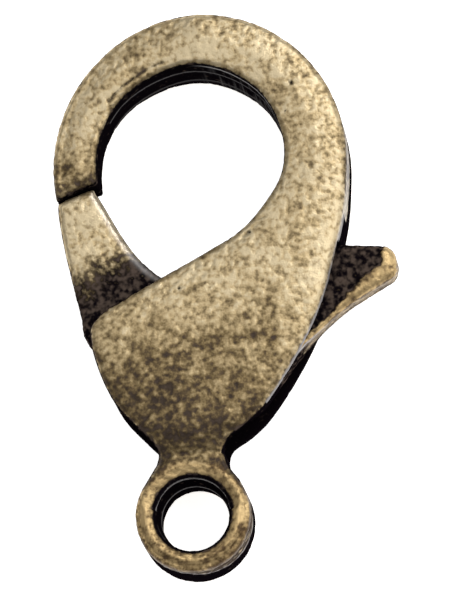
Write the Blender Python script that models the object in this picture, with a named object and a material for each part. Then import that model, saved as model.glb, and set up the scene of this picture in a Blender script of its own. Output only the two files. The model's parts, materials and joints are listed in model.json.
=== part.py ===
"""Lobster-claw trigger clasp with a fixed eye ring, for keys.

It lies on its back: X across, Y from the eye up to the hook, Z through the thickness.
The origin is under the middle of the clasp, on the plane of its back face.
Lengths below are millimetres; MM turns them into Blender's metres.
"""

import math

import bmesh
import bpy

MM = 0.001

# The casting that makes hook, cheeks, neck and eye
THICKNESS = 7.0
EDGE_ROUND = 0.55
HOOK_TAPER = 0.115  # how fast each face of the hook comes down towards its tip
TAPER_START_X = -2.0
TAPER_ABOVE_Y = 6.0
HOOK_CENTRE = (-1.9, 10.2)
HOOK_RADII = (11.35, 11.66)
EYE_CENTRE = (-2.33, -17.5)
EYE_OUTER_R = 4.36
EYE_BORE_R = 3.0
EYE_WAIST_R = 2.55  # the bore narrows to this at the parting line
EYE_RIM_ROUND = 0.4
EYE_HIGH_Z = 6.15  # the eye and neck are thinner than the cheeks
EYE_LOW_Z = THICKNESS - EYE_HIGH_Z

# The slot between the two cheeks, and the lever that swings in it
CHEEK = 1.35
LEVER_PLAY = 0.15
SLOT_FLOOR_Y = -12.6
LEVER_EDGE_ROUND = 0.45
PIVOT = (-6.0, -6.0)
GATE_END_R = 15.0
TIP_GAP = 0.3
HUB_R = 3.1
THUMB_CENTRE = (11.95, 2.13)
THUMB_R = 1.3

# The pivot rivet, driven in from the back and blind in the front cheek
PIN_R = 0.9
PIN_FIT = 0.05
PIN_END_Z = 6.3
PIN_HOLE_END_Z = 6.4
HEAD_R = 1.35
HEAD_RECESS = 0.12
HEAD_DEPTH = 0.62
HEAD_FIT = 0.06

# The torsion spring round the rivet, in a pocket in the back of the lever
WIRE_R = 0.19
COIL_R = 1.42
COIL_TURNS = 3
COIL_LOW_Z = 1.82
COIL_HIGH_Z = 3.24
TANG_LOW_Z = 1.0
TANG_HIGH_Z = 4.15
TANG_ANGLE = math.radians(250)
TANG_HOLE_R = 0.3
TANG_HOLE_CLEAR = 0.12
POCKET_R = 1.95
POCKET_TOP_Z = 3.75

ROUND_STEPS = 48
PIN_STEPS = 32
EPS = 0.5  # how far a cutter runs past the face it opens
SAME_POINT = 0.15


def clear_scene():
    for obj in list(bpy.data.objects):
        bpy.data.objects.remove(obj, do_unlink=True)


def make_material(name, colour, roughness, metallic):
    material = bpy.data.materials.new(name)
    material.use_nodes = True
    shader = material.node_tree.nodes["Principled BSDF"]
    shader.inputs["Base Color"].default_value = (*colour, 1.0)
    shader.inputs["Roughness"].default_value = roughness
    shader.inputs["Metallic"].default_value = metallic
    return material


def arc(centre, radii, start, end, steps):
    """Points of an ellipse's arc, from start to end in degrees."""
    points = []
    for i in range(steps + 1):
        angle = math.radians(start + (end - start) * i / steps)
        x = centre[0] + radii[0] * math.cos(angle)
        y = centre[1] + radii[1] * math.sin(angle)
        points.append((x, y))
    return points


def smooth_run(knots, steps):
    """A Catmull-Rom curve through the knots, with this many steps between two of them."""
    padded = [knots[0], *knots, knots[-1]]
    points = [knots[0]]
    for before, start, end, after in zip(padded, padded[1:], padded[2:], padded[3:]):
        for i in range(1, steps + 1):
            t = i / steps
            point = []
            for a, b, c, d in zip(before, start, end, after):
                rise = c - a
                bend = 2 * a - 5 * b + 4 * c - d
                twist = 3 * b - a - 3 * c + d
                point.append(b + 0.5 * t * (rise + t * (bend + t * twist)))
            points.append(tuple(point))
    return points


def joined(*runs):
    """One closed outline from runs that meet, with the shared end points dropped."""
    outline = []
    for run in runs:
        for point in run:
            if not outline or math.dist(point, outline[-1]) > SAME_POINT:
                outline.append(point)
    if math.dist(outline[0], outline[-1]) <= SAME_POINT:
        outline.pop()
    return outline


def object_from(bm, name, material=None):
    bmesh.ops.recalc_face_normals(bm, faces=bm.faces[:])
    mesh = bpy.data.meshes.new(name)
    bm.to_mesh(mesh)
    bm.free()
    obj = bpy.data.objects.new(name, mesh)
    bpy.context.scene.collection.objects.link(obj)
    if material:
        mesh.materials.append(material)
    return obj


def plate(name, outline, low_z, high_z, material=None):
    """The outline, extruded from low_z to high_z."""
    bm = bmesh.new()
    verts = [bm.verts.new((x * MM, y * MM, low_z * MM)) for x, y in outline]
    face = bm.faces.new(verts)
    made = bmesh.ops.extrude_face_region(bm, geom=[face])["geom"]
    raised = [item for item in made if isinstance(item, bmesh.types.BMVert)]
    bmesh.ops.translate(bm, verts=raised, vec=(0, 0, (high_z - low_z) * MM))
    weight = bm.edges.layers.float.new("bevel_weight_edge")
    for edge in bm.edges:
        start, end = edge.verts
        edge[weight] = 1.0 if start.co.z == end.co.z else 0.0
    return object_from(bm, name, material)


def turned(name, profile, centre, steps, material=None):
    """A profile of (radius, z) points, turned round the vertical line through centre."""
    bm = bmesh.new()
    verts = [bm.verts.new((r * MM, 0, z * MM)) for r, z in profile]
    edges = [bm.edges.new(pair) for pair in zip(verts, verts[1:])]
    bmesh.ops.spin(
        bm,
        geom=verts + edges,
        cent=(0, 0, 0),
        axis=(0, 0, 1),
        angle=math.tau,
        steps=steps,
        use_merge=True,
    )
    bmesh.ops.remove_doubles(bm, verts=bm.verts[:], dist=0.001 * MM)
    obj = object_from(bm, name, material)
    obj.location = (centre[0] * MM, centre[1] * MM, 0)
    return obj


def taper_hook(obj):
    """Tilts the hook's two faces towards each other, from its top down to its tip."""
    bm = bmesh.new()
    bm.from_mesh(obj.data)
    middle = THICKNESS / 2 * MM
    for side in (-1, 1):
        rim = [v for v in bm.verts if (v.co.z - middle) * side > 0]
        near = sorted(rim, key=lambda v: abs(v.co.x - TAPER_START_X * MM))
        top = [v for v in near if v.co.y > TAPER_ABOVE_Y * MM]
        outer = next(v for v in top if v.co.y > HOOK_CENTRE[1] * MM + 0.95 * HOOK_RADII[1] * MM)
        inner = next(v for v in top if v.co.y < outer.co.y - MM)
        bmesh.ops.connect_verts(bm, verts=[outer, inner])
        along = (outer.co - inner.co).normalized()
        for vert in rim:
            offset = vert.co - inner.co
            left = along.x * offset.y - along.y * offset.x
            if left > 0 and vert.co.y > TAPER_ABOVE_Y * MM:
                vert.co.z -= side * HOOK_TAPER * left
    bm.to_mesh(obj.data)
    bm.free()


def round_rims(obj, width, segments):
    """Rounds a plate's top and bottom rims, and leaves its upright corners."""
    bevel = obj.modifiers.new("edge_round", "BEVEL")
    bevel.width = width * MM
    bevel.segments = segments
    bevel.limit_method = "WEIGHT"
    bevel.use_clamp_overlap = False


def cut(obj, cutter):
    cutter.hide_render = True
    cutter.display_type = "WIRE"
    boolean = obj.modifiers.new(cutter.name, "BOOLEAN")
    boolean.operation = "DIFFERENCE"
    boolean.solver = "EXACT"
    boolean.object = cutter


def shade(obj):
    obj.data.shade_smooth()
    obj.data.set_sharp_from_angle(angle=math.radians(35))


def bore_profile(radius, waist, low_z, high_z, steps=3):
    """The bore's turned profile: narrowest in the middle, with a rounded rim at both faces."""
    profile = []
    for i in range(steps + 1):
        angle = math.pi / 2 * i / steps
        spread = EYE_RIM_ROUND * (1 - math.sin(angle))
        rise = EYE_RIM_ROUND * (1 - math.cos(angle))
        profile.append((radius + spread, high_z - rise))
    mirrored = [(r, low_z + high_z - z) for r, z in reversed(profile)]
    return [*profile, (waist, (low_z + high_z) / 2), *mirrored]


# ---- the casting -------------------------------------------------------------


def body_outline():
    tip_outer = arc(HOOK_CENTRE, HOOK_RADII, 192.8, 0, 34)
    right_side = smooth_run(
        [
            tip_outer[-1],
            (9.38, 8.0),
            (9.15, 5.6),
            (8.6, 2.9),
            (7.6, -1.0),
            (5.75, -5.1),
            (3.4, -8.85),
            (1.7, -10.6),
            (0.35, -11.6),
            (0.05, -12.8),
            (0.45, -13.9),
            (1.15, -14.75),
        ],
        3,
    )
    ring = arc(EYE_CENTRE, (EYE_OUTER_R, EYE_OUTER_R), 37.0, -208, 28)
    left_side = smooth_run(
        [
            ring[-1],
            (-5.55, -14.4),
            (-4.97, -13.2),
            (-5.1, -12.2),
            (-6.5, -10.75),
            (-8.1, -9.0),
            (-9.25, -6.8),
            (-9.95, -4.7),
            (-10.12, -3.2),
            (-9.75, -2.3),
            (-8.67, -1.35),
        ],
        3,
    )
    loop_edge = smooth_run(
        [
            left_side[-1],
            (-4.82, 0.85),
            (-1.76, 2.55),
            (1.38, 4.5),
            (3.35, 6.75),
            (4.6, 9.1),
            (4.65, 12.0),
            (3.2, 15.2),
            (0.6, 17.2),
            (-2.4, 17.95),
            (-5.4, 17.2),
            (-8.0, 15.4),
            (-9.5, 12.9),
            (-9.92, 10.7),
            (-9.85, 8.8),
        ],
        4,
    )
    tip_end = arc(PIVOT, (GATE_END_R + TIP_GAP,) * 2, 104.6, 117.0, 3)
    return joined(tip_outer, right_side, ring, left_side, loop_edge, tip_end)


def slot_cutter():
    """The space between the cheeks: open to the left, the loop and the lower right."""
    outline = [
        (-16.0, SLOT_FLOOR_Y),
        (16.0, SLOT_FLOOR_Y),
        (16.0, 5.7),
        (-0.6, 1.2),
        (-1.4, 3.4),
        (-3.0, 5.5),
        (-16.0, 5.5),
    ]
    return plate("slot_cutter", outline, CHEEK, THICKNESS - CHEEK)


def eye_cutter():
    profile = bore_profile(EYE_BORE_R, EYE_WAIST_R, EYE_LOW_Z, EYE_HIGH_Z)
    rim = profile[0][0]
    profile = [(0, THICKNESS + EPS), (rim, THICKNESS + EPS), *profile, (rim, -EPS), (0, -EPS)]
    return turned("eye_cutter", profile, EYE_CENTRE, ROUND_STEPS)


def rivet_hole_cutter():
    hole = PIN_R + PIN_FIT
    head = HEAD_R + HEAD_FIT
    floor = HEAD_DEPTH + HEAD_FIT
    profile = [
        (0, PIN_HOLE_END_Z),
        (hole, PIN_HOLE_END_Z),
        (hole, floor),
        (head, floor),
        (head, -EPS),
        (0, -EPS),
    ]
    return turned("rivet_hole_cutter", profile, PIVOT, PIN_STEPS)


def tang_point():
    x = PIVOT[0] + COIL_R * math.cos(TANG_ANGLE)
    y = PIVOT[1] + COIL_R * math.sin(TANG_ANGLE)
    return (x, y)


def tang_hole_cutter(name, low_z, high_z):
    profile = [(0, high_z), (TANG_HOLE_R, high_z), (TANG_HOLE_R, low_z), (0, low_z)]
    return turned(name, profile, tang_point(), 12)


def neck_cutter(name, side):
    """Takes one face down from the belly, through the neck, to the eye's thickness."""
    slope = smooth_run(
        [
            (-10.4, THICKNESS + 0.02),
            (-11.3, THICKNESS - 0.1),
            (-12.1, THICKNESS - 0.42),
            (-12.9, EYE_HIGH_Z + 0.07),
            (-13.7, EYE_HIGH_Z - 0.03),
            (-14.6, EYE_HIGH_Z),
        ],
        3,
    )
    outline = [*slope, (-24.0, EYE_HIGH_Z), (-24.0, THICKNESS + EPS), (-10.4, THICKNESS + EPS)]
    if side < 0:
        outline = [(y, THICKNESS - z) for y, z in outline]
    cutter = plate(name, outline, -16.0, 16.0)
    cutter.rotation_euler = (math.pi / 2, 0, math.pi / 2)
    return cutter


def make_body(material):
    body = plate("body_casting", body_outline(), 0.0, THICKNESS, material)
    taper_hook(body)
    round_rims(body, EDGE_ROUND, 2)
    cut(body, neck_cutter("front_neck_cutter", 1))
    cut(body, neck_cutter("back_neck_cutter", -1))
    cut(body, eye_cutter())
    cut(body, slot_cutter())
    cut(body, rivet_hole_cutter())
    cut(body, tang_hole_cutter("body_tang_cutter", TANG_LOW_Z - TANG_HOLE_CLEAR, CHEEK + EPS))
    shade(body)


# ---- the lever ---------------------------------------------------------------


def lever_outline():
    gate_end = arc(PIVOT, (GATE_END_R, GATE_END_R), 117.4, 106.2, 3)
    gate_inner = smooth_run(
        [
            gate_end[-1],
            (-9.4, 7.1),
            (-8.17, 4.97),
            (-6.88, 3.1),
            (-5.2, 1.5),
            (-3.2, 0.6),
            (-0.5, 0.9),
        ],
        3,
    )
    thumb_top = smooth_run([(9.0, 3.6), (10.2, 3.53), (11.95, 3.43)], 2)
    thumb_end = arc(THUMB_CENTRE, (THUMB_R, THUMB_R), 90, -59, 9)
    lower_edge = smooth_run(
        [
            thumb_end[-1],
            (9.8, -0.7),
            (7.5, -2.6),
            (5.2, -5.4),
            (3.3, -8.1),
            (2.24, -9.16),
            (0.3, -10.1),
            (-2.6, -10.1),
            (-4.6, -9.2),
        ],
        2,
    )
    hub = arc(PIVOT, (HUB_R, HUB_R), -100, -190, 8)
    gate_outer = smooth_run(
        [
            hub[-1],
            (-9.85, -4.3),
            (-10.8, -3.3),
            (-11.0, -1.96),
            (-11.6, 0.4),
            (-12.3, 3.3),
            (-12.85, 6.2),
            gate_end[0],
        ],
        2,
    )
    return joined(gate_end, gate_inner, thumb_top, thumb_end, lower_edge, hub, gate_outer)


def make_lever(material, axis_empty):
    low = CHEEK + LEVER_PLAY
    high = THICKNESS - CHEEK - LEVER_PLAY
    lever = plate("lever", lever_outline(), low, high, material)
    round_rims(lever, LEVER_EDGE_ROUND, 2)
    hole = PIN_R + PIN_FIT
    profile = [
        (0, high + EPS),
        (hole, high + EPS),
        (hole, POCKET_TOP_Z),
        (POCKET_R, POCKET_TOP_Z),
        (POCKET_R, low - EPS),
        (0, low - EPS),
    ]
    cut(lever, turned("hub_cutter", profile, PIVOT, PIN_STEPS))
    top = TANG_HIGH_Z + TANG_HOLE_CLEAR
    cut(lever, tang_hole_cutter("lever_tang_cutter", POCKET_TOP_Z - EPS, top))
    shade(lever)
    lever.parent = axis_empty
    lever.matrix_parent_inverse = axis_empty.matrix_world.inverted()


# ---- rivet and spring --------------------------------------------------------


def make_rivet(material):
    chamfer = 0.15
    profile = [
        (0, PIN_END_Z),
        (PIN_R - chamfer, PIN_END_Z),
        (PIN_R, PIN_END_Z - chamfer),
        (PIN_R, HEAD_DEPTH),
        (HEAD_R, HEAD_DEPTH),
        (HEAD_R, HEAD_RECESS + chamfer),
        (HEAD_R - chamfer, HEAD_RECESS),
        (0, HEAD_RECESS),
    ]
    rivet = turned("pivot_rivet", profile, PIVOT, PIN_STEPS, material)
    shade(rivet)


def spring_path():
    """Tang in the back cheek, turns round the rivet, tang in the lever."""
    steps = 16 * COIL_TURNS
    path = [(COIL_R, TANG_ANGLE, TANG_LOW_Z), (COIL_R, TANG_ANGLE, COIL_LOW_Z - 0.3)]
    for i in range(1, steps):
        share = i / steps
        angle = TANG_ANGLE + math.tau * COIL_TURNS * share
        path.append((COIL_R, angle, COIL_LOW_Z + (COIL_HIGH_Z - COIL_LOW_Z) * share))
    path.append((COIL_R, TANG_ANGLE, COIL_HIGH_Z + 0.3))
    path.append((COIL_R, TANG_ANGLE, TANG_HIGH_Z))
    return path


def make_spring(material):
    path = spring_path()
    data = bpy.data.curves.new("torsion_spring", "CURVE")
    data.dimensions = "3D"
    data.bevel_depth = WIRE_R * MM
    data.bevel_resolution = 2
    data.use_fill_caps = True
    spline = data.splines.new("POLY")
    spline.points.add(len(path) - 1)
    for point, (radius, angle, z) in zip(spline.points, path):
        x = radius * math.cos(angle)
        y = radius * math.sin(angle)
        point.co = (x * MM, y * MM, z * MM, 1.0)
    data.materials.append(material)
    spring = bpy.data.objects.new("torsion_spring", data)
    spring.location = (PIVOT[0] * MM, PIVOT[1] * MM, 0)
    bpy.context.scene.collection.objects.link(spring)


def main():
    clear_scene()
    bronze = make_material("antique_bronze", (0.42, 0.32, 0.17), 0.42, 0.9)
    worn = make_material("worn_bronze", (0.50, 0.39, 0.21), 0.38, 0.9)
    steel = make_material("rivet_steel", (0.35, 0.30, 0.22), 0.35, 1.0)
    wire = make_material("spring_steel", (0.42, 0.42, 0.44), 0.3, 1.0)
    axis_empty = bpy.data.objects.new("lever_axis", None)
    axis_empty.location = (PIVOT[0] * MM, PIVOT[1] * MM, THICKNESS / 2 * MM)
    bpy.context.scene.collection.objects.link(axis_empty)
    bpy.context.view_layer.update()
    make_body(bronze)
    make_lever(worn, axis_empty)
    make_rivet(steel)
    make_spring(wire)


main()
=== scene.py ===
import json
import math

import bmesh
import bpy
import numpy as np
from mathutils import Euler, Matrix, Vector, noise


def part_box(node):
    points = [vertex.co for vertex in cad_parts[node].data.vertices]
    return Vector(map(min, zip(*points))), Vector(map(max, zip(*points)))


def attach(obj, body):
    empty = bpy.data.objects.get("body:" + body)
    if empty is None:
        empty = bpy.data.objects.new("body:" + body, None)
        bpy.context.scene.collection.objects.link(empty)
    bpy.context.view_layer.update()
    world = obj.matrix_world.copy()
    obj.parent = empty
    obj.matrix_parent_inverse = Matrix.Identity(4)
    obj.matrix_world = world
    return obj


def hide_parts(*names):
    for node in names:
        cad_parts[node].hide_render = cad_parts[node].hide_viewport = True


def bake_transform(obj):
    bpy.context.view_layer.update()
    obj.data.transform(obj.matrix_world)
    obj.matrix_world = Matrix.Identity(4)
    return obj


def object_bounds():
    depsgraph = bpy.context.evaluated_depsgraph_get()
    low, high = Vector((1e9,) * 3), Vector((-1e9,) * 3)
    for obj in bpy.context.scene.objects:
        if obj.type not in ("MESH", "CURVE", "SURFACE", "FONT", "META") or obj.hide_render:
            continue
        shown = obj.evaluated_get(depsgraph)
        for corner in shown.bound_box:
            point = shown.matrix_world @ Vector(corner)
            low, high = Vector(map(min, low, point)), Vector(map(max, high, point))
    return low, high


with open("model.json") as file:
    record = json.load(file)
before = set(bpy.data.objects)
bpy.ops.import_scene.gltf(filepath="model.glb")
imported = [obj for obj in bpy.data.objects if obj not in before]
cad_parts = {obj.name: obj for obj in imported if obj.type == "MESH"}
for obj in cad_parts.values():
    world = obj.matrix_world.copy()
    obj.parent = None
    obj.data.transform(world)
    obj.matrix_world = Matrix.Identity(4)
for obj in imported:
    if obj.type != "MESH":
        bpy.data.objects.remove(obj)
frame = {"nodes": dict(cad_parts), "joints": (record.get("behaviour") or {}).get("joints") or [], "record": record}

mm = 0.001
faraway = 99.0
cadLow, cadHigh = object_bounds()
bodyLow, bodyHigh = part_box("body_casting")
leverLow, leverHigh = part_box("lever")
midZ = (bodyLow.z + bodyHigh.z) / 2 / mm
pivot = np.array(frame["joints"][0]["pos_m"][:2]) / mm
loopOpening = [o for o in frame["record"]["physics"]["openings"] if o["name"] == "hook_loop"][0]
loopCentre = (np.array(loopOpening["box_m"]) / mm).mean(axis=0)[:2]
eyeFace = [m for m in frame["record"]["mounts"] if m["name"] == "eye_front_face"][0]
eyeRadius = 4.36  # outside of the eye ring
eyeCentre = np.array((eyeFace["pos_m"][0] / mm, bodyLow.y / mm + eyeRadius))

bpy.context.scene.view_settings.view_transform = "Standard"


# helpers for numbers on points

def ease(low, high, x):
    t = np.clip((x - low) / (high - low), 0.0, 1.0)
    return t * t * (3 - 2 * t)


def bump(x, centre, width):
    return np.exp(-(((x - centre) / width) ** 2))


def cloudy(points, size, octaves, seed):
    # fractal noise, about -1 to 1, in lumps of this size
    shift = Vector((seed * 17.3, seed * 5.1, seed * 9.7))
    return np.array([noise.fractal(Vector(p) / size + shift, 0.8, 2.1, octaves) for p in points])


# helpers for meshes

def newObject(name, mesh):
    obj = bpy.data.objects.new(name, mesh)
    bpy.context.scene.collection.objects.link(obj)
    return obj


def readPoints(mesh):
    points = np.empty(len(mesh.vertices) * 3)
    mesh.vertices.foreach_get("co", points)
    points = points.reshape(-1, 3) / mm
    points[:, 2] -= midZ
    return points


def writePoints(mesh, points):
    moved = points.copy()
    moved[:, 2] += midZ
    mesh.vertices.foreach_set("co", (moved * mm).ravel())
    mesh.update()


def readNormals(mesh):
    normals = np.empty(len(mesh.vertices) * 3)
    mesh.vertex_normals.foreach_get("vector", normals)
    return normals.reshape(-1, 3)


# the paintedHighlight mask is painted highlight: thin pale lines standing in for reflections
maskNames = ("patina", "pits", "rim", "darkening", "gold", "paintedHighlight")


def saveMasks(mesh, *masks):
    # the finish reads these from the mesh, point by point
    for name, values in zip(maskNames, masks):
        layer = mesh.attributes.new(name, "FLOAT", "POINT")
        layer.data.foreach_set("value", np.clip(values, 0, 1))


def applyModifiers(obj):
    graph = bpy.context.evaluated_depsgraph_get()
    mesh = bpy.data.meshes.new_from_object(obj.evaluated_get(graph))
    obj.modifiers.clear()
    obj.data = mesh
    obj.data.shade_smooth()


weldDistance = 0.002 * mm
shortestWall = 0.001
settleSteps = 3
blockSize = 4000  # points measured at a time


def fineCopy(node, name, voxel, relax):
    # the CAD solid in a new object, welded, remeshed into small even quads and relaxed
    mesh = frame["nodes"][node].data.copy()
    mesh.materials.clear()
    bm = bmesh.new()
    bm.from_mesh(mesh)
    bmesh.ops.remove_doubles(bm, verts=bm.verts[:], dist=weldDistance)
    bm.to_mesh(mesh)
    bm.free()
    obj = newObject(name, mesh)
    remesh = obj.modifiers.new("evenQuads", "REMESH")
    remesh.mode = "VOXEL"
    remesh.voxel_size = voxel * mm
    smooth = obj.modifiers.new("relax", "SMOOTH")
    smooth.factor = 0.5
    smooth.iterations = relax
    wrap = obj.modifiers.new("backToSolid", "SHRINKWRAP")
    wrap.target = frame["nodes"][node]
    wrap.wrap_method = "NEAREST_SURFACEPOINT"
    settle = obj.modifiers.new("settle", "SMOOTH")
    settle.factor = 0.5
    settle.iterations = settleSteps
    applyModifiers(obj)
    return obj


def wallsAt(node, height, lowY, highY, clearOf):
    # where the node's upright walls cross this height: start, end and outward direction in plan
    bm = bmesh.new()
    bm.from_mesh(frame["nodes"][node].data)
    bmesh.ops.remove_doubles(bm, verts=bm.verts[:], dist=weldDistance)
    planes = [
        ((0, lowY * mm, 0), (0, 1, 0)),
        ((0, highY * mm, 0), (0, 1, 0)),
        ((0, 0, (midZ + height) * mm), (0, 0, 1)),
    ]
    for place, direction in planes:
        everything = bm.verts[:] + bm.edges[:] + bm.faces[:]
        cut = bmesh.ops.bisect_plane(bm, geom=everything, plane_co=place, plane_no=direction)
    walls = []
    for edge in cut["geom_cut"]:
        if not isinstance(edge, bmesh.types.BMEdge) or not edge.link_faces:
            continue
        start, end = (np.array(v.co.xy) / mm for v in edge.verts)
        middle = (start + end) / 2
        if np.linalg.norm(end - start) < shortestWall:
            continue
        if lowY < middle[1] < highY and np.linalg.norm(middle - pivot) > clearOf:
            outward = Vector(edge.link_faces[0].normal.xy).normalized()
            walls.append([start, end, np.array(outward)])
    bm.free()
    return np.array(walls)


def nearestWall(points, walls):
    # how far in from the nearest wall each point is, and the outward direction there
    starts, spans, outward = walls[:, 0], walls[:, 1] - walls[:, 0], walls[:, 2]
    lengths = (spans**2).sum(axis=1)
    distance = np.empty(len(points))
    away = np.empty((len(points), 2))
    for first in range(0, len(points), blockSize):
        block = slice(first, first + blockSize)
        offset = points[block, None, :2] - starts
        share = np.clip((offset * spans).sum(axis=2) / lengths, 0, 1)
        gap = offset - share[..., None] * spans
        squared = (gap**2).sum(axis=2)
        best = squared.argmin(axis=1)
        rows = np.arange(len(best))
        distance[block] = np.sqrt(squared[rows, best])
        pull = 0.06 * outward[best] - gap[rows, best]
        away[block] = pull / np.linalg.norm(pull, axis=1)[:, None]
    return distance, away


def sculptRims(points, distance, outward, top, newTop, radius, swell):
    # moves the faces from top to newTop, rounds their rims to this radius and swells the walls
    side = np.sign(points[:, 2])
    height = np.abs(points[:, 2])
    below = top - height
    height = height + (newTop - top) * (1 - ease(0.3, 1.2, below))
    inward = radius - distance
    down = radius - below
    corner = (inward > 0) & (down > 0)
    pull = np.where(corner, radius / np.maximum(np.hypot(inward, down), 1e-6), 1.0)
    shift = inward * (pull - 1) + swell * (1 - ease(0, 0.9, distance))
    points[:, :2] += outward * shift[:, None]
    height = height + np.where(corner, down * (pull - 1), 0.0)
    points[:, 2] = side * height


# the casting: hook, cheeks, neck and eye in one

casting = {
    "voxel": 0.16,
    "relax": 6,  # smoothing steps
    "cheekLevel": 2.25,  # heights at which the outline is read
    "hookLevel": 1.0,
    "hookFromY": 6.0,
    "rivetClear": 1.7,
    "slotHalf": 2.3,
    "slotY": (-12.8, 5.7),
    "hookTaper": 0.115,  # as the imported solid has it
    "taperStartX": -2.0,
    "slopeY": (-24, -14.6, -13.7, -12.9, -12.1, -11.3, -10.4, 24),  # down the neck to the eye
    "slopeTop": (2.65, 2.65, 2.62, 2.72, 3.08, 3.4, 3.5, 3.5),
    "crown": 0.34,
    "crownWidth": 3.3,
    "rimRadius": 0.5,
    "rightRimRadius": 0.78,
    "backLoopRadius": 1.15,
    "ringOuterRadius": 1.1,
    "backMouthRadius": 0.15,
    "frontLip": 0.1,
    "backLip": 0.24,
    "swell": 0.04,
    "hookSwell": 0.06,
    "eyeBore": 3.0,
    "eyeOuter": eyeRadius,
    "eyeHalf": 2.65,  # half the ring's thickness
    "eyeTop": -15.0,
    "gateReach": 15.3,  # from the rivet to the end of the gate
    "grainDepth": 0.03,
    "pitDepth": 0.05,
    "hollowDepth": 0.09,
    "grooveIn": 0.62,  # from the loop's edge
    "grooveDepth": 0.06,
    "pitCount": 16,
    "pitSeed": 7,
    "pitSizes": (0.12, 0.24),
    "darkNeck": 0.15,  # how much blackening each place keeps
    "darkEdge": 0.45,
    "darkTip": 0.48,
    "darkPits": 0.8,
    "darkGroove": 0.5,
    "rightFlankWearAndReflection": 0.75,  # how much of it has worn off the walls; on the right flank the bare band is also a painted reflection
    "leftFlankWear": 0.8,
    "farSideWear": 0.36,
    "tone": 0.28,  # how dark the worn metal is
    "toneLow": 0.8,
    "toneHookEnd": 0.45,
    "ringTone": 0.37,
    "ringGold": 4.5,  # how far the golden tone reaches round the eye
    "highlightStreaks": 0.14,
    "edgeHighlightStrength": 0.4,  # how bright each painted highlight line is
    "ringHighlightStrength": 0.6,
    "boreHighlightStrength": 0.6,
    "flankHighlightStrength": 0.3,
    "loopHighlightStrength": 0.5,
}
ringHalf = (casting["eyeOuter"] - casting["eyeBore"]) / 2


def castingTop(x, y):
    top = np.interp(y, casting["slopeY"], casting["slopeTop"])
    taper = casting["hookTaper"] * np.maximum(casting["taperStartX"] - x, 0)
    return top - np.where(y > 6, taper, 0)


def deepPits(points, facing):
    # a few casting pits, scattered over both faces
    rng = np.random.default_rng(casting["pitSeed"])
    spots = points[facing > 0.9]
    hollow = np.zeros(len(points))
    for centre in spots[rng.integers(0, len(spots), casting["pitCount"])]:
        size = rng.uniform(*casting["pitSizes"])
        offset = points - centre
        stretch = 1 + 0.6 * np.sin(rng.uniform(0, math.tau)) * offset[:, 0] / size
        hollow = np.maximum(hollow, np.exp(-((offset**2).sum(axis=1)) / size**2 * np.clip(stretch, 0.5, 2)))
    return hollow


def castingSides(start, outward):
    # which part of the casting each point is on, from its place on the solid
    s = casting
    x, y, _ = start.T
    eyeDistance = np.hypot(x - eyeCentre[0], y - eyeCentre[1])
    inRing = 1 - ease(s["eyeOuter"] - 0.2, s["eyeOuter"] + 0.7, eyeDistance)
    outerSide = ((start[:, :2] - loopCentre) * outward).sum(axis=1) > 0
    rightSide = ease(0.1, 0.8, outward[:, 0]) * outerSide * (1 - ease(4, 9, y)) * (1 - inRing)
    return eyeDistance, inRing, outerSide, rightSide


def shapeCasting(points, distance, outward, sides):
    # crowned faces, rounded rims, a round eye ring and lips at the mouths of its bore
    s = casting
    x, y, z = points.T.copy()
    eyeDistance, inRing, outerSide, rightSide = sides
    top = castingTop(x, y)
    crown = s["crown"] * (1 - np.clip(distance / s["crownWidth"], 0, 1)) ** 2
    newTop = top - crown * (1 - inRing)
    across = np.clip(np.abs(eyeDistance - s["eyeBore"] - ringHalf) / ringHalf, 0, 1)
    ringTop = s["eyeHalf"] - ringHalf * (1 - np.sqrt(1 - 0.98 * across**2))
    newTop = np.where(eyeDistance < s["eyeOuter"], np.maximum(newTop, ringTop), newTop)
    radius = s["rimRadius"] + (s["rightRimRadius"] - s["rimRadius"]) * rightSide * (z > 0)
    radius = np.where(~outerSide & (z < 0) & (y > 2), s["backLoopRadius"], radius)
    radius += (ringHalf - radius) * inRing
    radius = np.where((inRing > 0.9) & outerSide, s["ringOuterRadius"], radius)
    backMouth = (eyeDistance < s["eyeBore"] + ringHalf) & (z < 0)
    radius = np.where(backMouth, s["backMouthRadius"], radius)
    swell = s["swell"] + s["hookSwell"] * outerSide * ease(2, 8, y)
    sculptRims(points, distance, outward, top, newTop, radius, swell)
    lip = np.where(z < 0, s["backLip"], s["frontLip"]) * ease(0.8, 2.2, np.abs(z))
    lip *= 1 - ease(s["eyeBore"], s["eyeBore"] + 0.5, eyeDistance)
    points[:, :2] += (eyeCentre - points[:, :2]) / eyeDistance[:, None] * lip[:, None]


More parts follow.
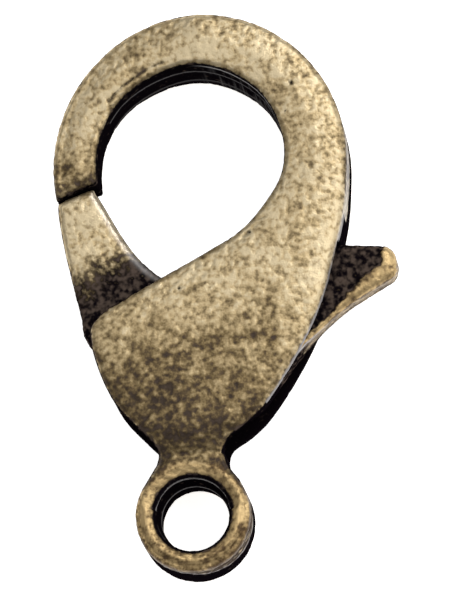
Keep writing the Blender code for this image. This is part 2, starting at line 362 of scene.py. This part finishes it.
def blackWalls(start, outward, facing, lumps, inSlot, sides):
    # walls stay black, less so on the flanks and where the clasp is handled; the bare band on the right flank is
    # also a painted reflection
    s = casting
    x, y, z = start.T
    eyeDistance, _, outerSide, _ = sides
    wall = 1 - ease(0.25, 0.7, facing)
    flank = outerSide * ~inSlot * (y > -9.5) * ease(0, 6, x)
    # painted reflection, partly: the front half of the right flank is left bare
    wall = wall * (1 - s["rightFlankWearAndReflection"] * flank * ease(-0.9, -0.3, z) * ease(0, 2.5, y))
    leftFlank = outerSide * ease(-3, -7, x) * ease(3, 8, y)
    wall = wall * (1 - s["leftFlankWear"] * leftFlank * ease(0, 1.5, z))
    farSide = ease(0.1, -0.4, 0.39 * outward[:, 0] - 0.92 * outward[:, 1])
    farWear = s["farSideWear"] * farSide * outerSide * ~inSlot
    wall = wall * (1 - farWear * ease(0.2, -0.3, lumps - 0.3))

    onRing = eyeDistance < s["eyeOuter"] + 0.35
    inBore = eyeDistance < s["eyeBore"] + ringHalf
    outsideRing = onRing & ~inBore & (y < s["eyeTop"])
    sideways = ease(-0.3, 0.9, (x - eyeCentre[0]) / s["eyeOuter"])
    darkFrom = 1.3 - 1.3 * sideways + 0.15 * lumps
    ringWall = 1 - ease(darkFrom - 0.2, darkFrom + 0.2, z)
    ringWall *= ease(-2.4, -2.0, z)
    # painted shade: the ring's sides that turn away from facing up are half blackened
    ringWall = np.maximum(ringWall, 0.5 * (1 - facing) * (z < 1.7))
    boreWall = 1 - ease(2.35, 2.62, np.abs(z) + 0.04 * lumps)
    wall = np.where(onRing & inBore, boreWall, np.where(outsideRing, ringWall, wall))

    # painted highlights: thin pale lines along the same walls
    ringHighlightLine = bump(z, darkFrom + 0.1, 0.06) * outsideRing
    boreHighlightLine = (bump(z, 1.9, 0.07) + 0.5 * bump(z, 0.12, 0.07)) * onRing * inBore
    flankHighlightLine = flank * (facing < 0.5) * ease(-0.6, 0.2, z) * (1 - ease(1.9, 2.6, z)) * ease(0, 3, y)
    highlightLines = [s["ringHighlightStrength"] * ringHighlightLine, s["boreHighlightStrength"] * boreHighlightLine, s["flankHighlightStrength"] * flankHighlightLine]
    return wall, highlightLines


def paintedLoopStreaks(start, around, facing, outerSide):
    # painted highlight arcs and fine upright streaks on the wall inside the loop
    x, y, z = start.T
    loopWall = ~outerSide * (facing < 0.5) * (y > 2) * (x > -9)
    turn = 1 - ease(28, 46, np.abs(around - 45))
    streakNoise = np.array([noise.noise(Vector((a * 0.9, 0, h * 0.25))) for a, h in zip(around, z)])
    arcs = bump(z, 2.5, 0.16) * turn + 0.3 * bump(z, 0.9, 0.1) + 0.25 * bump(z, -1.4, 0.1)
    highlightStreaks = casting["highlightStreaks"] * turn * np.clip(streakNoise * 2 - 0.2, 0, 1)
    return loopWall * np.maximum(arcs, highlightStreaks)


def wearCasting(points, start, normals, distance, outward, sides):
    # the masks that the finish reads, and how deep the cast surface goes in
    s = casting
    x, y, z = start.T
    eyeDistance, _, outerSide, rightSide = sides
    facing = np.abs(normals[:, 2])
    slotLow, slotHigh = s["slotY"]
    inSlot = (np.abs(points[:, 2]) < s["slotHalf"]) & (y > slotLow) & (y < slotHigh)
    inSlot &= eyeDistance > s["eyeOuter"]
    grain = cloudy(points, 0.42, 3, 1)
    lumps = cloudy(points, 1.7, 2, 2)
    drift = cloudy(points, 5.5, 2, 3)
    around = np.degrees(np.arctan2(y - loopCentre[1], x - loopCentre[0]))
    groove = bump(distance + 0.05 * lumps, s["grooveIn"], 0.1) * ~outerSide * (facing > 0.7)
    groove *= ease(98, 108, around) * (1 - ease(140, 150, around))
    hollow = deepPits(points, facing)
    wall, highlightLines = blackWalls(start, outward, facing, lumps, inSlot, sides)

    # how much blackening is left, place by place
    ringLimit = s["ringGold"] - ease(-17, -14.5, y)
    ringShare = 1 - ease(ringLimit, ringLimit + 1.0, eyeDistance + 0.2 * lumps)
    neck = bump(y + 0.3 * lumps, -11.3, 1.7) * ease(4.2, 5.3, eyeDistance)
    pastTip = np.hypot(x - pivot[0], y - pivot[1]) - s["gateReach"]
    tipEnd = (1 - ease(0.0, 1.3, pastTip + 0.3 * lumps)) * (x < -7) * (y > 6)
    rim = np.clip(1 - distance / 0.7, 0, 1) * (facing > 0.3) * ~inSlot
    edge = (1 - ease(0, 0.3, distance)) * (1 - rightSide) * (1 - ringShare)
    patina = np.maximum.reduce([
        wall, s["darkNeck"] * neck, s["darkEdge"] * edge, s["darkTip"] * tipEnd,
        inSlot * 1.0, s["darkPits"] * hollow, s["darkGroove"] * groove,
    ])

    # how dark the worn metal is: darker down to the neck and at the hook's end
    lower = 1 - ease(-12.5, 4, y)
    hookEnd = (x < -6) * ease(6, 8, y) * (1 - ease(9, 15, y))
    # painted shade on the rims, and darker along the edges; painted highlight on the right-hand rims and the
    # crestHighlight band in from them
    crestHighlight = bump(distance, 1.15, 0.45) * rightSide * (z > 0)
    darkening = s["tone"] + 0.2 * drift + s["toneLow"] * lower + s["toneHookEnd"] * hookEnd + 0.1 * neck
    darkening += 0.3 * edge + rim * (0.12 - 0.3 * rightSide) - 0.12 * crestHighlight
    lowRing = 1 - ease(-20.5, -17.5, y)
    rings = np.sin(19 * eyeDistance + 2.5 * lumps)
    # painted shade: the ring darkens where its surface turns away from facing up
    ringTone = s["ringTone"] + 0.2 * lowRing + 0.15 * lumps + 0.1 * rings + 0.6 * (1 - facing)
    darkening += (ringTone - darkening) * ringShare
    darkening = np.where(inSlot | (wall > 0.9), 0.0, darkening)
    pits = ease(0.1, 0.6, grain + 0.35 * lumps + 0.5 * darkening - 0.2)

    # painted highlight: a pale line along the very edge of the right cheek
    edgeHighlightLine = bump(distance, 0.0, 0.05) * rightSide * (z > 1.5) * (y > -9)
    loopHighlightLine = paintedLoopStreaks(start, around, facing, outerSide)
    paintedHighlight = np.maximum.reduce([*highlightLines, s["edgeHighlightStrength"] * edgeHighlightLine, s["loopHighlightStrength"] * loopHighlightLine])

    depth = s["grainDepth"] * (0.6 * grain + 0.5 * lumps) + s["pitDepth"] * pits
    depth *= np.where(inSlot, 0.4, 1.0) * (0.45 + 0.55 * facing)
    depth += s["hollowDepth"] * hollow + s["grooveDepth"] * groove
    return (patina, pits, rim, darkening, ringShare, paintedHighlight), depth


def makeCasting():
    s = casting
    obj = fineCopy("body_casting", "bodyCasting", s["voxel"], s["relax"])
    points = readPoints(obj.data)
    start = points.copy()
    walls = np.concatenate([
        wallsAt("body_casting", s["cheekLevel"], -faraway, s["hookFromY"], s["rivetClear"]),
        wallsAt("body_casting", s["hookLevel"], s["hookFromY"], faraway, s["rivetClear"]),
    ])
    distance, outward = nearestWall(points, walls)
    print("casting walls", len(walls), "points", len(points))
    sides = castingSides(start, outward)
    shapeCasting(points, distance, outward, sides)
    writePoints(obj.data, points)
    normals = readNormals(obj.data)
    masks, depth = wearCasting(points, start, normals, distance, outward, sides)
    points -= normals * depth[:, None]
    writePoints(obj.data, points)
    saveMasks(obj.data, *masks)
    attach(obj, "body")
    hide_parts("body_casting")
    return obj


# the lever: gate arm, hub and thumb tab

lever = {
    "voxel": 0.12,
    "relax": 5,
    "outlineLevel": 1.0,
    "rivetClear": 1.3,
    "gateX": -3.0,  # the gate arm is left of this, the thumb tab right of the next
    "thumbX": 4.0,
    "rimRadius": 0.5,
    "thumbRadius": 0.7,
    "thumbLean": 0.35,
    "crown": 0.1,
    "crownWidth": 1.6,
    "dishDepth": 0.28,  # of the thumb face
    "lumpDepth": 0.06,
    "swell": 0.02,
    "cheekEdge": ((-8.67, -1.35), (-4.82, 0.85)),  # where the gate arm goes in between the cheeks
    "gateFade": 6.4,  # how far up the gate arm the blackening fades
    "gateTone": 0.1,
    "thumbTone": 0.36,
    "thumbGold": 0.8,
    "lowEdgeHighlightStrength": 0.8,
    "innerRimHighlightStrength": 0.35,
}


def thumbRim(x):
    # the bright rim of the thumb face is widest round its tip
    return 0.1 + 0.78 * ease(7.5, 12.2, x)


def shapeLever(points, distance, lowDistance, outward):
    # rounded rims, a sunken thumb face and a lower wall that leans out
    s = lever
    x, _, z = points.T.copy()
    top = np.full(len(points), (leverHigh.z - leverLow.z) / 2 / mm)
    newTop = top - s["crown"] * (1 - np.clip(distance / s["crownWidth"], 0, 1)) ** 2
    dish = ease(thumbRim(x), thumbRim(x) + 0.4, lowDistance) * (x > s["thumbX"])
    newTop -= s["dishDepth"] * dish
    radius = np.where(x > s["thumbX"], s["thumbRadius"], s["rimRadius"])
    lean = s["thumbLean"] * ease(-2, 2, z) * ease(5.5, 7.5, x) * ease(-0.1, -0.8, outward[:, 1])
    sculptRims(points, distance, outward, top, newTop, radius, s["swell"] + lean)


def wearLever(points, start, normals, distance, lowDistance, outward):
    # the masks that the finish reads, and how deep the cast surface goes in
    s = lever
    x, y, z = start.T
    facing = np.abs(normals[:, 2])
    grain = cloudy(points, 0.36, 3, 11)
    lumps = cloudy(points, 1.4, 2, 12)
    onGate = x < s["gateX"]
    onThumb = x > s["thumbX"]
    wall = 1 - ease(0.2, 0.55, facing)
    rim = np.clip(1 - distance / 0.6, 0, 1) * (facing > 0.3)

    # the gate arm is blackest where it goes in between the cheeks
    low, high = np.array(s["cheekEdge"])
    along = (high - low) / np.linalg.norm(high - low)
    fromCheek = along[0] * (y - low[1]) - along[1] * (x - low[0])
    gateDark = 1 - ease(0.0, s["gateFade"], fromCheek + 1.3 * lumps)
    innerRim = ease(0.3, 0.8, outward[:, 0]) * onGate
    leftEdgeShade = (1 - ease(0, 0.3, distance)) * ease(0.2, -0.5, outward[:, 0])
    gatePatina = np.maximum(0.95 * gateDark**1.25, 1.1 * wall)
    # painted highlight on the gate's inner rim and painted shade on its left edge
    gateTone = s["gateTone"] + 1.15 * gateDark + 0.25 * lumps - 0.5 * rim * innerRim + 0.5 * leftEdgeShade

    # the thumb tab is bright where it is touched: round its tip and along its lower edge, and a painted highlight
    # line runs along its lower wall
    shineFrom = -0.9 - 1.0 * ease(6.5, 10.8, x)
    thumbWall = wall * (1 - ease(shineFrom - 0.2, shineFrom + 0.4, z))
    lowHalf = 0.35 * (1 - ease(-0.5, 0.8, z))
    thumbWall = np.maximum(thumbWall, wall * np.where(outward[:, 1] > 0.6, 1, lowHalf))
    thumbWall = np.maximum(thumbWall, wall * (1 - ease(5.4, 6.8, x)))
    inFromRim = lowDistance + 0.14 * lumps + 0.1 * grain
    thumbFace = ease(thumbRim(x) - 0.05, thumbRim(x) + 0.3, inFromRim)
    thumbDark = np.where(facing > 0.4, 0.9 * thumbFace, thumbWall)
    faceTone = (0.2 + 0.6 * ease(6, 10, x)) * thumbFace * (facing > 0.4)
    # painted shade: the thumb tab's walls are darker than its face
    thumbTone = s["thumbTone"] + 0.4 * wall + faceTone + 0.2 * lumps

    patina = np.where(onGate, gatePatina, np.maximum(thumbDark, ~onThumb))
    darkening = np.where(onGate, gateTone, np.where(onThumb, thumbTone, 0))
    pits = ease(0.1, 0.6, grain + 0.3 * lumps + 0.5 * darkening - 0.2)
    # painted highlight: a pale line along the thumb tab's lower wall and one along the gate's inner rim
    lowEdgeHighlight = bump(z, 1.3, 0.25) * wall * (outward[:, 1] < -0.3) * (1 - ease(5, 8.5, x)) * onThumb
    innerRimHighlightLine = bump(distance, 0.35, 0.2) * innerRim * (z > 0) * (facing > 0.5)
    paintedHighlight = np.maximum(s["lowEdgeHighlightStrength"] * lowEdgeHighlight, s["innerRimHighlightStrength"] * innerRimHighlightLine)
    depth = 0.02 * grain + 0.02 * lumps + 0.035 * pits
    depth += s["lumpDepth"] * np.clip(grain + 0.3, 0, 1) * patina * (facing > 0.5)
    depth *= 0.4 + 0.6 * facing
    return (patina, pits, rim, darkening, onThumb * s["thumbGold"], paintedHighlight), depth


def makeLever():
    s = lever
    obj = fineCopy("lever", "leverArm", s["voxel"], s["relax"])
    points = readPoints(obj.data)
    start = points.copy()
    walls = wallsAt("lever", s["outlineLevel"], -faraway, faraway, s["rivetClear"])
    lowWalls = walls[(walls[:, 2, 1] < 0.45) & (walls[:, 0, 0] > 2)]
    distance, outward = nearestWall(points, walls)
    lowDistance, _ = nearestWall(points, lowWalls)
    print("lever walls", len(walls), "points", len(points))
    shapeLever(points, distance, lowDistance, outward)
    writePoints(obj.data, points)
    normals = readNormals(obj.data)
    masks, depth = wearLever(points, start, normals, distance, lowDistance, outward)
    points -= normals * depth[:, None]
    writePoints(obj.data, points)
    saveMasks(obj.data, *masks)
    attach(obj, "lever")
    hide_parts("lever")
    return obj


# the rivet, driven in from the back

rivet = {
    "steps": 72,
    "pinRadius": 0.9,
    "headDome": 0.07,
    "headRound": 0.12,
    "neckZ": 0.62,  # top of the head
    "hammerDepth": 0.02,  # shallow marks, on the head only
    "hammerSize": 0.35,
}


def rivetProfile():
    # radius and height from the blind end to the head on the back
    low, high = (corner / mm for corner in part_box("pivot_rivet"))
    headRadius = (high.x - low.x) / 2
    radius, neckZ, headRound = rivet["pinRadius"], rivet["neckZ"], rivet["headRound"]
    profile = [(0, high.z - 0.03), (0.45, high.z), (0.72, high.z)]
    profile += [(radius - 0.05, high.z - 0.06), (radius, high.z - 0.16)]
    profile += [(radius, z) for z in np.linspace(high.z - 0.5, neckZ + 0.05, 12)]
    profile += [(radius + 0.05, neckZ), (headRadius - 0.05, neckZ), (headRadius, neckZ - 0.05)]
    for angle in np.linspace(0, math.pi / 2, 9):
        across = headRadius - headRound * (1 - math.cos(angle))
        profile.append((across, low.z + headRound * (1 - math.sin(angle))))
    for share in (0.75, 0.5, 0.25, 0.0):
        profile.append(((headRadius - headRound) * share, low.z - rivet["headDome"] * (1 - share**2)))
    return profile


def makeRivet():
    profile = rivetProfile()
    bm = bmesh.new()
    verts = [bm.verts.new((r * mm, 0, z * mm)) for r, z in profile]
    edges = [bm.edges.new(pair) for pair in zip(verts, verts[1:])]
    bmesh.ops.spin(
        bm, geom=verts + edges, cent=(0, 0, 0), axis=(0, 0, 1), angle=math.tau,
        steps=rivet["steps"], use_merge=True,
    )
    bmesh.ops.remove_doubles(bm, verts=bm.verts[:], dist=0.0005 * mm)
    bmesh.ops.recalc_face_normals(bm, faces=bm.faces[:])
    for vert in bm.verts:
        if vert.co.z < rivet["neckZ"] / 2 * mm:
            vert.co.z += rivet["hammerDepth"] * mm * noise.noise(vert.co / mm / rivet["hammerSize"])
        vert.co.x += pivot[0] * mm
        vert.co.y += pivot[1] * mm
    mesh = bpy.data.meshes.new("rivet")
    bm.to_mesh(mesh)
    bm.free()
    mesh.shade_smooth()
    obj = newObject("rivet", mesh)
    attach(obj, "body")
    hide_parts("pivot_rivet")
    return obj


# the spring round the rivet: one tang in the back cheek, one in the lever

spring = {
    "wire": 0.19,
    "coilRadius": 1.42,
    "turns": 3,
    "coilZ": (1.82, 3.24),
    "tangZ": (1.0, 4.15),
    "tangAngle": 250.0,
    "tangGap": 0.25,
    "tangSteps": 5,
    "stepsPerTurn": 40,
    "sides": 12,
}


def springPath():
    s = spring
    first = math.radians(s["tangAngle"])
    low, high = s["coilZ"]
    path = []
    for z in np.linspace(s["tangZ"][0], low - s["tangGap"], s["tangSteps"]):
        path.append((s["coilRadius"], first, z))
    count = s["turns"] * s["stepsPerTurn"]
    for i in range(1, count):
        share = i / count
        path.append((s["coilRadius"], first + math.tau * s["turns"] * share, low + (high - low) * share))
    for z in np.linspace(high + s["tangGap"], s["tangZ"][1], s["tangSteps"]):
        path.append((s["coilRadius"], first, z))
    return [Vector((pivot[0] + r * math.cos(a), pivot[1] + r * math.sin(a), z)) for r, a, z in path]


def makeSpring():
    s = spring
    path = springPath()
    bm = bmesh.new()
    rings = []
    for i, point in enumerate(path):
        along = (path[min(i + 1, len(path) - 1)] - path[max(i - 1, 0)]).normalized()
        outward = Vector((point.x - pivot[0], point.y - pivot[1], 0)).normalized()
        up = along.cross(outward).normalized()
        ring = []
        for k in range(s["sides"]):
            angle = math.tau * k / s["sides"]
            offset = (outward * math.cos(angle) + up * math.sin(angle)) * s["wire"]
            ring.append(bm.verts.new((point + offset) * mm))
        rings.append(ring)
    for before, after in zip(rings, rings[1:]):
        for k in range(s["sides"]):
            nextK = (k + 1) % s["sides"]
            bm.faces.new((before[k], before[nextK], after[nextK], after[k]))
    bm.faces.new(rings[0])
    bm.faces.new(rings[-1])
    bmesh.ops.recalc_face_normals(bm, faces=bm.faces[:])
    mesh = bpy.data.meshes.new("torsionSpring")
    bm.to_mesh(mesh)
    bm.free()
    mesh.shade_smooth()
    obj = newObject("torsionSpring", mesh)
    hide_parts("torsion_spring")
    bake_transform(obj)
    return obj


# the antiqued bronze, from bright relieved metal to what is left of the blackening

bronze = {
    "tones": [
        (0.0, (0.46, 0.376, 0.238)),
        (0.22, (0.385, 0.297, 0.166)),
        (0.42, (0.275, 0.207, 0.110)),
        (0.62, (0.160, 0.115, 0.056)),
        (0.8, (0.088, 0.062, 0.033)),
        (1.0, (0.038, 0.028, 0.021)),
    ],
    "gold": (0.42, 0.30, 0.145),
    "darkGold": (0.085, 0.052, 0.024),
    "black": (0.003, 0.002, 0.003),
    "brownBlack": (0.066, 0.048, 0.038),
    "paintedHighlight": (0.58, 0.55, 0.54),
    "roughness": 0.42,
    "metallic": 0.98,
    "spotScale": 2.8,  # all scales are per millimetre
    "patchScale": 1.4,
    "coarseScale": 0.6,
    "grainScale": 8.0,
    "bump": 0.7,
    "bumpDepth": 0.08,
}


def nodeTree(name):
    material = bpy.data.materials.new(name)
    material.use_nodes = True
    nodes = material.node_tree.nodes
    shader = nodes["Principled BSDF"]
    return material, nodes, material.node_tree.links, shader


def attribute(nodes, name):
    node = nodes.new("ShaderNodeAttribute")
    node.attribute_name = name
    return node.outputs["Fac"]


def millimetres(nodes, links):
    coords = nodes.new("ShaderNodeTexCoord")
    mapping = nodes.new("ShaderNodeMapping")
    mapping.inputs["Scale"].default_value = (1000, 1000, 1000)
    links.new(coords.outputs["Object"], mapping.inputs["Vector"])
    return mapping.outputs["Vector"]


def noiseOn(nodes, links, vector, scale, detail=4.0, roughness=0.6):
    node = nodes.new("ShaderNodeTexNoise")
    node.inputs["Scale"].default_value = scale
    node.inputs["Detail"].default_value = detail
    node.inputs["Roughness"].default_value = roughness
    links.new(vector, node.inputs["Vector"])
    return node.outputs["Fac"]


def spread(nodes, links, value, low, high, first=0.0, last=1.0):
    node = nodes.new("ShaderNodeMapRange")
    node.interpolation_type = "SMOOTHSTEP"
    node.inputs["From Min"].default_value = low
    node.inputs["From Max"].default_value = high
    node.inputs["To Min"].default_value = first
    node.inputs["To Max"].default_value = last
    links.new(value, node.inputs["Value"])
    return node.outputs["Result"]


def combine(nodes, links, operation, a, b, clamp=False):
    node = nodes.new("ShaderNodeMath")
    node.operation = operation
    node.use_clamp = clamp
    for socket, value in zip(node.inputs, (a, b)):
        if isinstance(value, (int, float)):
            socket.default_value = value
        else:
            links.new(value, socket)
    return node.outputs["Value"]


def tint(nodes, links, share, low, high):
    node = nodes.new("ShaderNodeMix")
    node.data_type = "RGBA"
    links.new(share, node.inputs["Factor"])
    for name, value in (("A", low), ("B", high)):
        socket = [s for s in node.inputs if s.name == name and s.type == "RGBA"][0]
        if isinstance(value, tuple):
            socket.default_value = (*value, 1.0)
        else:
            links.new(value, socket)
    return [s for s in node.outputs if s.type == "RGBA"][0]


def ramp(nodes, links, value, stops):
    node = nodes.new("ShaderNodeValToRGB")
    elements = node.color_ramp.elements
    while len(elements) < len(stops):
        elements.new(0.5)
    for element, (place, colour) in zip(elements, stops):
        element.position = place
        element.color = (*colour, 1.0)
    links.new(value, node.inputs["Fac"])
    return node.outputs["Color"]


def weighted(nodes, links, start, terms):
    # start plus each value times its weight
    total = start
    for value, weight in terms:
        total = combine(nodes, links, "ADD", total, combine(nodes, links, "MULTIPLY", value, weight))
    return total


def addBump(nodes, links, shader, height, look):
    node = nodes.new("ShaderNodeBump")
    node.inputs["Strength"].default_value = look["bump"]
    node.inputs["Distance"].default_value = look["bumpDepth"] * mm
    links.new(height, node.inputs["Height"])
    links.new(node.outputs["Normal"], shader.inputs["Normal"])


def antiqueBronze(name, look):
    material, nodes, links, shader = nodeTree(name)
    place = millimetres(nodes, links)
    patina, pits, rim, darkening, gold, paintedHighlight = (attribute(nodes, mask) for mask in maskNames)
    spots = noiseOn(nodes, links, place, look["spotScale"], 1.2, 0.5)
    patches = noiseOn(nodes, links, place, look["patchScale"], 1.0, 0.5)
    coarse = noiseOn(nodes, links, place, look["coarseScale"], 1.5, 0.5)
    grain = noiseOn(nodes, links, place, look["grainScale"], 1.0, 0.5)

    tone = weighted(nodes, links, -1.33, [
        (spots, 0.7), (patches, 0.93), (coarse, 0.6), (grain, 0.2), (pits, 0.1), (darkening, 0.85),
    ])
    metal = ramp(nodes, links, tone, look["tones"])
    golden = tint(nodes, links, spread(nodes, links, tone, 0.1, 0.85), look["gold"], look["darkGold"])
    warmth = weighted(nodes, links, -0.3, [(coarse, 0.7), (rim, 0.2), (gold, 0.9)])
    warmShare = spread(nodes, links, warmth, 0.1, 0.8, 0.0, 0.92)
    metal = tint(nodes, links, warmShare, metal, golden)
    mottle = weighted(nodes, links, -1.38, [(patches, 1.3), (spots, 1.2), (darkening, 0.5)])
    blackness = spread(nodes, links, mottle, 0.08, 0.8)
    black = tint(nodes, links, blackness, look["black"], look["brownBlack"])
    blacker = weighted(nodes, links, -0.84, [(patina, 1.15), (spots, 0.75), (patches, 0.7), (grain, 0.2)])
    blackMask = spread(nodes, links, blacker, -0.05, 0.8)
    colour = tint(nodes, links, blackMask, metal, black)
    # painted highlight: pale colour and full metal along the highlight lines
    colour = tint(nodes, links, paintedHighlight, colour, look["paintedHighlight"])
    links.new(colour, shader.inputs["Base Color"])

    bare = weighted(nodes, links, look["metallic"], [(blackMask, -look["metallic"])])
    metallic = combine(nodes, links, "MAXIMUM", bare, paintedHighlight)
    links.new(metallic, shader.inputs["Metallic"])
    roughness = weighted(nodes, links, look["roughness"] - 0.1, [(grain, 0.2), (tone, 0.1)])
    links.new(roughness, shader.inputs["Roughness"])
    shader.inputs["Specular IOR Level"].default_value = 0.0

    relief = weighted(nodes, links, 0.0, [(spots, -0.7), (grain, -0.3)])
    addBump(nodes, links, shader, relief, look)
    return material


def steel(name, look):
    material, nodes, links, shader = nodeTree(name)
    place = millimetres(nodes, links)
    grainy = noiseOn(nodes, links, place, 6.0, 4.0, 0.6)
    cloud = noiseOn(nodes, links, place, 1.2, 3.0, 0.6)
    mix = weighted(nodes, links, -0.2, [(grainy, 0.6), (cloud, 0.8)])
    colour = tint(nodes, links, spread(nodes, links, mix, 0.3, 0.75), look["bright"], look["dull"])
    links.new(colour, shader.inputs["Base Color"])
    smoother, rougher = look["roughness"] - 0.08, look["roughness"] + 0.1
    roughness = spread(nodes, links, grainy, 0.3, 0.7, smoother, rougher)
    links.new(roughness, shader.inputs["Roughness"])
    shader.inputs["Metallic"].default_value = 1.0
    addBump(nodes, links, shader, grainy, look)
    return material


rivetSteel = {
    "bright": (0.42, 0.34, 0.22),
    "dull": (0.16, 0.12, 0.08),
    "roughness": 0.4,
    "bump": 0.35,
    "bumpDepth": 0.03,
}
springSteel = {
    "bright": (0.45, 0.45, 0.46),
    "dull": (0.24, 0.23, 0.23),
    "roughness": 0.3,
    "bump": 0.35,
    "bumpDepth": 0.03,
}


# the pieces, each with its finish

body = makeCasting()
body.data.materials.append(antiqueBronze("antiqueBronze", bronze))
arm = makeLever()
arm.data.materials.append(antiqueBronze("wornBronze", bronze))
print("casting and lever made:", len(body.data.polygons), len(arm.data.polygons), "faces")
pin = makeRivet()
pin.data.materials.append(steel("rivetSteel", rivetSteel))
coil = makeSpring()
coil.data.materials.append(steel("springSteel", springSteel))
print("rivet and spring made")


# the studio: pale floor, soft light and a long lens

studio = {
    "fill": 0.42,
    "floor": (0.9, 0.9, 0.9),
    "floorGlow": 0.75,
    "focal": 300.0,
    "distance": 380.0,
    "tilt": (14.02, 5.87, 0.0),
    "aim": (0.362, 0.069),
    "softboxes": {  # name: place and size in metres, watts
        "topSoftbox": ((-0.03, 0.06, 0.5), (0.7, 0.7), 1.6),
        "keySoftbox": ((0.16, 0.26, 0.36), (0.2, 0.2), 0.65),
        "rightSoftbox": ((0.42, 0.02, 0.30), (0.3, 0.5), 1.2),
    },
}


def makeFloor():
    bm = bmesh.new()
    bmesh.ops.create_grid(bm, x_segments=8, y_segments=8, size=1.2)
    mesh = bpy.data.meshes.new("floor")
    bm.to_mesh(mesh)
    bm.free()
    floor = newObject("floor", mesh)
    floor.location = (0, 0, cadLow.z - 0.02 * mm)
    material, nodes, links, shader = nodeTree("paleFloor")
    place = millimetres(nodes, links)
    tone = noiseOn(nodes, links, place, 0.02, 2.0, 0.5)
    pale = studio["floor"]
    colour = tint(nodes, links, tone, pale, tuple(c * 0.99 for c in pale))
    links.new(colour, shader.inputs["Base Color"])
    shader.inputs["Roughness"].default_value = 0.9
    shader.inputs["Specular IOR Level"].default_value = 0.1
    shader.inputs["Emission Color"].default_value = (1, 1, 1, 1)
    shader.inputs["Emission Strength"].default_value = studio["floorGlow"]
    mesh.materials.append(material)


def makeSoftbox(name, place, size, power):
    # a rectangle of soft light, turned to the middle of the clasp
    light = bpy.data.lights.new(name, "AREA")
    light.shape = "RECTANGLE"
    light.size, light.size_y = size
    light.energy = power
    obj = newObject(name, light)
    obj.location = place
    obj.rotation_euler = (-Vector(place)).to_track_quat("-Z", "Y").to_euler()


def makeWorld():
    world = bpy.data.worlds.new("studio")
    world.use_nodes = True
    background = world.node_tree.nodes["Background"]
    background.inputs["Color"].default_value = (1, 1, 1, 1)
    background.inputs["Strength"].default_value = studio["fill"]
    bpy.context.scene.world = world


def makeCamera():
    data = bpy.data.cameras.new("camera")
    data.sensor_fit = "VERTICAL"
    data.sensor_height = 36.0
    data.lens = studio["focal"]
    data.clip_start = 0.01
    data.clip_end = 10.0
    camera = newObject("camera", data)
    turn = Euler([math.radians(a) for a in studio["tilt"]], "XYZ")
    aimX, aimY = studio["aim"]
    place = Vector((0, 0, midZ)) + turn.to_matrix() @ Vector((aimX, aimY, studio["distance"]))
    camera.location = place * mm
    camera.rotation_euler = turn
    bpy.context.scene.camera = camera


makeFloor()
makeWorld()
for name, (place, size, power) in studio["softboxes"].items():
    makeSoftbox(name, place, size, power)
makeCamera()
print("studio ready")
